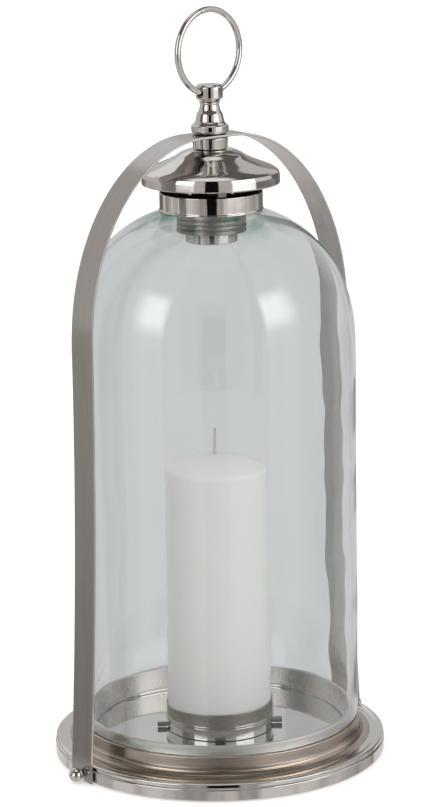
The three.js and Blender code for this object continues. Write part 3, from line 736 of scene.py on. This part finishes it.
NICKEL = (0.74, 0.715, 0.69)
BASE_NICKEL = polished_metal("base_nickel", NICKEL, 0.07, 0.0001, 22.0, 0.03)
POLISHED = polished_metal("polished_nickel", NICKEL, 0.05, 0.00016, 45.0, 0.02)
CAPPED = capped_metal("nickel_with_painted_shade", NICKEL, 0.05)
BRUSHED = turned_metal("brushed_nickel", (0.60, 0.56, 0.52), 0.30)
GALLERY = gallery_metal("gallery_nickel")
CUP = cup_metal("cup_nickel")
STRAP = strip_metal("strap_nickel", (0.60, 0.572, 0.55), 0.18)
STEEL = plain_steel("plain_steel")
GLASS = blown_glass("clear_glass")
WAX = candle_wax("wax")
WICK = braided_wick("wick")
SILICONE = soft_ring("silicone", (0.30, 0.31, 0.30))
FELT = wool_felt("felt")

# ------------------------------------------------------------------ base


def turned_piece(name, profile, material, body, nodes, radius, segments, keep=()):
    """A turned piece from its outline in millimetres, with corners rounded to radius."""
    mesh = turned_mesh(rounded(profile, radius, keep=keep), segments)
    return finished(name, mesh, material, body, nodes)


base_profile = [(3.4, 8.3), (14, 8.3), (16, 10.3), (119.8, 10.3), (120.6, 9.5), (120.6, 1), (124.5, 1),
                (125, 1.5), (125, 9.2), (124.4, 9.8), (123.7, 10.3), (124.55, 10.5), (124.4, 12.9),
                (123.6, 13.5), (122.2, 13.75), (120.6, 13.6), (119.2, 13.3), (3.4, 13.3)]
base = turned_piece("base_casting_surface", base_profile, BASE_NICKEL, "base", ["base_casting"],
                    0.5, 256)
FOOT_SCREW_Z = 6                    # the ball screws' axis
combine(base, [bar_mesh(2.4, 115, 130, FOOT_SCREW_Z), bar_mesh(2.4, -130, -115, FOOT_SCREW_Z)], "DIFFERENCE")

gallery_profile = [(95.8, 13.36), (114.5, 13.36), (111.8, 13.8), (109.2, 14.9), (107.8, 16.7),
                   (108.0, 17.2), (108.0, 17.9), (107.5, 18.5), (106.7, 19.8), (106.6, 27.3),
                   (106.3, 27.8), (105.7, 28), (101, 28), (101, 33.9), (100.3, 34.9), (99.1, 34.9),
                   (98.4, 33.9), (98.4, 19), (95.8, 19)]
turned_piece("glass_gallery_ring", gallery_profile, GALLERY, "base", ["glass_gallery"],
             0.3, 256)

tray_profile = [(3.4, 15.6), (94, 15.6), (94, 13.6), (95.4, 13.6), (95.4, 16.6), (94.8, 17), (3.4, 17)]
turned_piece("tray_floor", tray_profile, POLISHED, "base", ["tray_plate"], 0.3, 192)


def beads(radius, heights, proud=0.6, half=0.8, steps=6):
    """Half-round beads up a straight wall."""
    rows = []
    for height in heights:
        for k in range(steps + 1):
            angle = math.pi * (k / steps) - math.pi / 2
            rows.append((radius + proud * math.cos(angle), height + half * math.sin(angle)))
    return rows


cup_foot = [(39.1, 17.3), (40.3, 17.3)]
cup_beads = beads(40.3, (25.9, 27.7))
cup_rim = [(40.3, 37.8), (39.9, 38.2), (39.4, 38.2), (39.4, 23.8), (6.2, 23.8), (6.2, 22.4), (39.1, 22.4)]
cup = turned_piece("candle_cup_shell", cup_foot + cup_beads + cup_rim, CUP, "base", ["candle_cup"],
                   0.25, 160, range(len(cup_foot), len(cup_foot + cup_beads)))
SIDE_TURN = math.radians(-32)       # the two side screws' line, from +X
SIDE_Z = 19.6
combine(cup, [move_mesh(bar_mesh(1.6, -44, 44, SIDE_Z), Matrix.Rotation(SIDE_TURN, 4, "Z"))], "DIFFERENCE")

PEG_SEAT = 40.6
PEG_END = PEG_SEAT + 7.2
peg_outline = rounded([(0, 32.6), (1.25, 32.6), (1.25, PEG_SEAT), (2.1, PEG_SEAT), (2.1, PEG_END),
                       (0, PEG_END)], 0.5, False)

BALL_RADIUS = 5.3
BALL_CENTRE = 132                   # from the part's axis
SHANK_END = 127.4


def ball_screw_outline(steps=20):
    """A plain shank that runs into a ball."""
    outline = [(0, 113.4), (2, 113.4), (2, SHANK_END)]
    start = math.acos((BALL_CENTRE - SHANK_END) / BALL_RADIUS)
    for k in range(steps):
        angle = start + (math.pi - start) * k / steps
        outline.append((BALL_RADIUS * math.sin(angle), BALL_CENTRE - BALL_RADIUS * math.cos(angle)))
    return outline + [(0, BALL_CENTRE + BALL_RADIUS)]


for side, turn in (("right", 0.0), ("left", math.pi)):
    screw = lay_along_x(turned_mesh(peg_outline, 48, closed=False), SIDE_Z, SIDE_TURN + turn)
    finished(f"cup_side_screw_{side}_peg", screw, STEEL, "base", [f"cup_side_screw_{side}"])
    screw = lay_along_x(turned_mesh(ball_screw_outline(), 64, closed=False), FOOT_SCREW_Z, turn)
    finished(f"ball_screw_{side}_head", screw, POLISHED, f"screw_{side}", [f"ball_screw_{side}"])

# ------------------------------------------------------------------ candle

candle_profile = [(0, 24.1), (38.5, 24.1), (39.05, 24.9), (38.0, 217.2)]
candle_profile += curved([(38.0, 217.4), (37.5, 219.6), (36.0, 221.4), (32, 223.3), (24, 226.2), (16, 228.2),
                          (8, 229.6), (4, 230.2), (2.4, 230.3), (1.6, 229.7)], 5)
candle_profile += [(1.6, 216.5), (0, 216.5)]


def wax_wobble(index, r, z, angle):
    """The poured pillar isn't quite true: slow waves round it."""
    if r < 30 or z < 45:
        return 0.0
    return 0.14 * math.sin(2 * angle + z * 0.021) + 0.08 * math.sin(3 * angle - z * 0.034 + 1.0) - 0.1


def divided(points, longest):
    """The same line with points added, so that no run is much longer than longest."""
    out = []
    for (r, z), (r2, z2) in zip(points, points[1:]):
        parts = max(1, int(math.hypot(r2 - r, z2 - z) / longest))
        out += [(r + (r2 - r) * k / parts, z + (z2 - z) * k / parts) for k in range(parts)]
    return out + [points[-1]]


finished("pillar_candle_wax", turned_mesh(divided(candle_profile, 8), 128, False, wax_wobble), WAX, "candle",
         ["pillar_candle"], 50)

WICK_FOOT = 216.8
WICK_TIP = 249.3
WAX_TOP = 230


def make_wick():
    """A braid that leans a little where it stands free of the wax."""
    mesh = bmesh.new()
    rings = []
    steps = 26
    for k in range(steps + 1):
        t = k / steps
        z = WICK_FOOT + (WICK_TIP - WICK_FOOT) * t
        lean = max(0.0, (z - WAX_TOP) / (WICK_TIP - WAX_TOP))
        x, y = -0.5 * lean ** 2, -0.4 * lean ** 2
        radius = 1.0 - 0.25 * max(0.0, (t - 0.9) / 0.1)
        if k in (0, steps):
            radius *= 0.6
        ring = []
        for a in round_turn(16):
            reach = radius * (1 + 0.10 * math.sin(2 * a + k))
            ring.append(mesh.verts.new(Vector((x + reach * math.cos(a), y + reach * math.sin(a), z)) * MM))
        rings.append(ring)
    skin(mesh, rings)
    finished("candle_wick_braid", mesh, WICK, "candle", ["candle_wick"], 60)


make_wick()

# ------------------------------------------------------------------ glass bell

BELL_RADIUS = 105.4
BELL_FOOT = 29.6                    # where the straight wall starts, above the rounded rim
WALL = 3.2
SHOULDER_Z = 311
DOME_Z = 418.8
POWER = 2.25                        # of the dome's superellipse
CROWN_RADIUS = 28
CROWN_HOLE = 19


def arc_steps(count):
    """Angles from 0 to half a turn."""
    return [math.pi * k / count for k in range(count + 1)]


def dome_height(r):
    """The outer face's height over the radius r."""
    return SHOULDER_Z + (DOME_Z - SHOULDER_Z) * (1 - (r / BELL_RADIUS) ** POWER) ** (1 / POWER)


def dome_normal(r):
    """The direction away from the dome's outer face, as radius and height."""
    step = 0.01
    slope = (dome_height(r - step) - dome_height(r + step)) / (2 * step)
    return Vector((slope, 1)).normalized()


def bell_profile():
    """The glass outline from the rim round to the rim again, and how many of its points are outside."""
    outer = [(BELL_RADIUS, BELL_FOOT), (BELL_RADIUS, BELL_FOOT + 0.05)]
    outer += [(BELL_RADIUS, BELL_FOOT + (SHOULDER_Z - BELL_FOOT) * k / 60) for k in range(1, 61)]
    inner = [(BELL_RADIUS - WALL, z) for _, z in outer]
    crown = dome_height(CROWN_RADIUS)
    count = 44
    for k in range(1, count + 1):
        r = BELL_RADIUS * math.cos(k / count * math.acos(CROWN_RADIUS / BELL_RADIUS))
        normal = dome_normal(r)
        outer.append((r, dome_height(r)))
        inner.append((r - WALL * normal.x, dome_height(r) - WALL * normal.y))
    for r in (26, 23.5, 21):
        outer.append((r, crown))
        inner.append((r, crown - WALL))
    half = WALL / 2
    rim = [(BELL_RADIUS - half - half * math.cos(a), BELL_FOOT - 1.3 * math.sin(a)) for a in arc_steps(8)]
    hole = [(CROWN_HOLE + half * (1 - math.sin(a)), crown - half + half * math.cos(a)) for a in arc_steps(8)]
    upper_half = len(hole) // 2
    return rim + outer[1:] + hole + list(reversed(inner[1:])), len(rim) + len(outer) - 1 + upper_half


bell_outline, OUTER_COUNT = bell_profile()


def glass_wobble(index, r, z, angle):
    """Blown glass: the two faces wave a little, and not together."""
    if z < 34 or r < 40:
        return 0.0
    fade = min(1.0, (z - 34) / 25) * min(1.0, (r - 40) / 30)
    if index < OUTER_COUNT:
        wave = 0.14 * math.sin(3 * angle + z * 0.031) + 0.08 * math.sin(5 * angle - z * 0.083 + 2.0)
        wave += 0.02 * math.sin(9 * angle + z * 0.17 + 1.1)
    else:
        wave = 0.14 * math.sin(2 * angle - z * 0.042 + 1.3) + 0.08 * math.sin(4 * angle + z * 0.097)
        wave += 0.02 * math.sin(8 * angle - z * 0.19 + 0.4)
    return fade * wave


finished("glass_bell_blown", turned_mesh(bell_outline, 224, True, glass_wobble), GLASS, "bell",
         ["glass_bell"], 60)

# ------------------------------------------------------------------ neck, cap and finial

collar_profile = [(24, 419.8), (36.5, 419.8), (36.5, 414.7), (38.5, 414.7), (38.5, 415.4), (38, 416.1),
                  (38, 428.0), (37.5, 428.5), (24, 428.5)]
turned_piece("collar_ring", collar_profile, CAPPED, "bell", ["collar"], 0.35, 160)

turned_piece("inner_gasket_ring", [(17.8, 411.9), (25, 411.9), (25, 412.8), (17.8, 412.8)], SILICONE, "bell",
             ["inner_gasket"], 0.2, 96)
turned_piece("collar_gasket_ring", [(29, 416.7), (36.2, 413.9), (36.2, 419.5), (29, 419.5)], SILICONE, "bell",
             ["collar_gasket"], 0.3, 96)

NUT_FOOT = 398.2
nut_profile = [(17.6, NUT_FOOT), (25.1, NUT_FOOT), (25.6, NUT_FOOT + 0.5)]
for groove in (NUT_FOOT + 3.4, NUT_FOOT + 6.8, NUT_FOOT + 10.2):
    nut_profile += [(25.6, groove - 0.7), (24.9, groove - 0.3), (24.9, groove + 0.3), (25.6, groove + 0.7)]
nut_profile += [(25.6, 411.6), (17.6, 411.6)]
turned_piece("ring_nut_grooved", nut_profile, BRUSHED, "bell", ["ring_nut"], 0.3, 128)

ROD_HOLE = 3.4                      # radius of the holes that the tie rod runs through
tube_profile = [(14.5, 390.3), (18.1, 390.3), (18.7, 390.9), (18.7, 397.9), (17.2, 397.9), (17.2, 426),
                (14.5, 426)]
vent = turned_piece("vent_tube_shell", tube_profile, POLISHED, "bell", ["vent_tube"], 0.4, 96)
spokes = []
for turn in (0, 120, 240):
    spoke = block_mesh((15.5, 4, 3), (7.75, 0, 395.5))
    spokes.append(move_mesh(spoke, Matrix.Rotation(math.radians(turn), 4, "Z")))
combine(vent, spokes + [rod_mesh(6.5, 394, 397, 48)], "UNION")
combine(vent, [rod_mesh(ROD_HOLE, 392, 399)], "DIFFERENCE")

CAP_SEAT = 459.4
CAP_WALL = 1.5
slope = curved([(17.2, -0.35), (22.5, -2.6), (27, -5.6), (36, -9.7), (46, -13.8), (50.2, -16.6)])
cap_profile = [(49.0, 434), (50.4, 434), (50.9, 434.6), (50.75, 440.2), (50.6, 441.2)]
cap_profile += [(r, CAP_SEAT + z) for r, z in reversed(slope)]
cap_profile += [(14, CAP_SEAT), (ROD_HOLE, CAP_SEAT), (ROD_HOLE, CAP_SEAT - CAP_WALL),
                (13.6, CAP_SEAT - CAP_WALL)]
cap_profile += [(r - 0.7, CAP_SEAT + z - CAP_WALL) for r, z in slope] + [(49.0, 439.8)]
turned_piece("vent_cap_spun", cap_profile, CAPPED, "bell", ["vent_cap"], 0.3, 192)

lower_profile = [(ROD_HOLE, 459.7), (12.1, 459.7), (12.6, 460.3), (13.2, 467.6), (12.7, 468.3),
                 (ROD_HOLE, 468.3)]
turned_piece("lower_finial_disc", lower_profile, POLISHED, "bell", ["lower_finial"],
             0.4, 96)

body_outline = [(11.3, 0), (13.0, 0.7), (13.7, 1.9), (13.7, 5.9), (13.2, 6.4), (12.3, 6.5), (11.4, 8.2),
                (10.5, 9.1), (10.2, 10.8), (9.4, 14.8), (8.5, 16.1), (7.7, 17.6), (7.1, 20.6), (6.8, 21.5),
                (7.5, 22.1), (7.5, 22.9), (7.1, 23.3)]
BODY_FOOT = 470.7
body_profile = [(ROD_HOLE, BODY_FOOT)] + [(r, BODY_FOOT + up) for r, up in body_outline] + [(ROD_HOLE, 494.0)]
turned_piece("finial_baluster", body_profile, POLISHED, "bell", ["finial_body"], 0.7, 96)

head_profile = [(0, 495.5), (ROD_HOLE, 495.5), (ROD_HOLE, 494.3), (7.6, 494.3), (9.83, 496.7), (9.83, 505.1),
                (8.5, 506.5), (7.8, 506.7), (0, 506.7)]
head = finished("finial_head_turned", turned_mesh(rounded(head_profile, 0.6, False), 96, False), POLISHED,
                "bell", ["finial_head"])
RING_TURN = math.radians(6.6)
EYE_Z = 500.8                       # the cross hole that the ring hangs in
RING_RADIUS = 30.4
combine(head, [move_mesh(bar_mesh(3.5, -13, 13, EYE_Z), Matrix.Rotation(RING_TURN, 4, "Z"))], "DIFFERENCE")


def make_ring():
    """Round wire bent to a ring; its ends meet in a fine butt joint."""
    radius, wire, centre = RING_RADIUS, 2.35, EYE_Z - 0.8 + RING_RADIUS
    joint, gap = math.radians(104), 0.25 / RING_RADIUS
    steps = 200
    mesh = bmesh.new()
    rings = []
    for k in range(steps + 1):
        angle = joint + gap / 2 + (2 * math.pi - gap) * k / steps
        reach = wire * 0.93 if k in (0, steps) else wire
        outward = Vector((math.cos(angle), 0, math.sin(angle)))
        middle = outward * radius + Vector((0, 0, centre))
        ring = []
        for a in round_turn(28):
            across = outward * math.cos(a) + Vector((0, 1, 0)) * math.sin(a)
            ring.append(mesh.verts.new((middle + across * reach) * MM))
        rings.append(ring)
    skin(mesh, rings)
    move_mesh(mesh, Matrix.Rotation(RING_TURN, 4, "Z"))
    finished("hanging_ring_wire", mesh, POLISHED, "ring", ["hanging_ring"])


make_ring()

# ------------------------------------------------------------------ hoop


FOOT_X = 126.2
SPRING_X = 116.5                    # where the legs end and the arch starts
SPRING_Z = 327
BEND_Z = 14.5                       # where a leg starts to lean in
CREST_X = 14                        # where the arch ends in a flat seat
CREST_Z = 469.5


def hoop_line():
    """Centre line of half the hoop from foot to crest, as in the CAD."""
    line = [(FOOT_X, 1.0), (FOOT_X, 7.0)]
    steps = 40
    for k in range(steps):
        share = 1 - k / steps
        line.append((SPRING_X + (FOOT_X - SPRING_X) * share ** 2, SPRING_Z - share * (SPRING_Z - BEND_Z)))
    steps = 80
    for k in range(steps + 1):
        angle = k / steps * math.pi / 2
        line.append((CREST_X + (SPRING_X - CREST_X) * math.cos(angle),
                     SPRING_Z + (CREST_Z - SPRING_Z) * math.sin(angle)))
    return line + [(CREST_X / 2, CREST_Z), (0, CREST_Z)]


def make_hoop():
    """One strip bent along the line, with holes for the ball screws and the tie rod."""
    half = hoop_line()
    line = half + [(-x, z) for x, z in reversed(half[:-1])]
    width, thick, edge = 25.4, 1.8, 0.4
    section = []
    for sy, sn in ((1, 1), (-1, 1), (-1, -1), (1, -1)):
        corner = [(sy * (width / 2 - edge + edge * math.cos(t)), sn * (thick / 2 - edge + edge * math.sin(t)))
                  for t in (0, math.pi / 6, math.pi / 3, math.pi / 2)]
        section += corner if sy * sn > 0 else list(reversed(corner))
    section = supported(section)
    mesh = bmesh.new()
    rings = []
    for k, (x, z) in enumerate(line):
        xa, za = line[max(k - 1, 0)]
        xb, zb = line[min(k + 1, len(line) - 1)]
        length = math.hypot(xb - xa, zb - za)
        nx, nz = (zb - za) / length, -(xb - xa) / length
        rings.append([mesh.verts.new(((x + n * nx) * MM, y * MM, (z + n * nz) * MM)) for y, n in section])
    skin(mesh, rings)
    hoop = finished("strap_hoop_strip", mesh, STRAP, "bell", ["strap_hoop"], 40)
    cutters = []
    for x in (-FOOT_X, FOOT_X):     # each foot's hole is open downwards
        cutters.append(bar_mesh(2.4, x - 5, x + 5, FOOT_SCREW_Z))
        cutters.append(block_mesh((10, 4.8, 10), (x, 0, FOOT_SCREW_Z - 5)))
    cutters.append(rod_mesh(ROD_HOLE, 464, 475))
    combine(hoop, cutters, "DIFFERENCE")


make_hoop()

# ------------------------------------------------------------------ CAD nodes that stay

KEPT = {
    "cup_spigot": STEEL, "cup_bolt": STEEL, "cup_bolt_washer": STEEL, "cup_bolt_nut": STEEL,
    "rim_nut_right": STEEL, "rim_nut_left": STEEL, "foot_pad_1": FELT, "foot_pad_2": FELT,
    "foot_pad_3": FELT, "foot_pad_4": FELT, "tie_rod": STEEL, "tie_rod_nut": STEEL,
    "vent_spider": STEEL, "cap_spacer": STEEL,
}
for node, material in KEPT.items():
    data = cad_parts[node].data
    data.materials.clear()
    data.materials.append(material)
